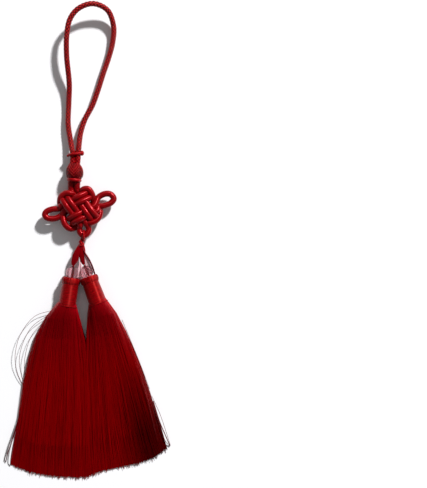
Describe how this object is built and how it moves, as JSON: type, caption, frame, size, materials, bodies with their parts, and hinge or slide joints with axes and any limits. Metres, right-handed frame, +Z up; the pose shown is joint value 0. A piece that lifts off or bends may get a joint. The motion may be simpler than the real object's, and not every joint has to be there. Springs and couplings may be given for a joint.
{
  "type": "chinese knot tassel",
  "caption": "Hanging ornament lying flat: a cord loop, a ribbed button knot and a woven flower knot over twin silk tassels, each headed by a clear bead.",
  "frame": {"origin": "on the surface it lies on, under the middle of everything but the free loop of cord", "axes": "+Z up off the surface, +Y towards the hanging loop, +X to the viewer's right when seen from above with the loop at the top"},
  "size_m": [0.0934, 0.2849, 0.0125],
  "materials": {
    "loop_cord": "braided cord",
    "thin_cord": "twisted cord",
    "satin_cord": "satin cord",
    "clear_bead": "clear polished",
    "silk": "silky fibre"
  },
  "bodies": {
    "root": {"hanging_loop": "loop_cord", "upper_collar": "thin_cord", "button_knot": "loop_cord", "flower_knot": "satin_cord", "tassel_tie": "thin_cord", "bead_left": "clear_bead", "bead_right": "clear_bead", "tassel_left": "silk", "tassel_right": "silk"}
  },
  "joints": []
}
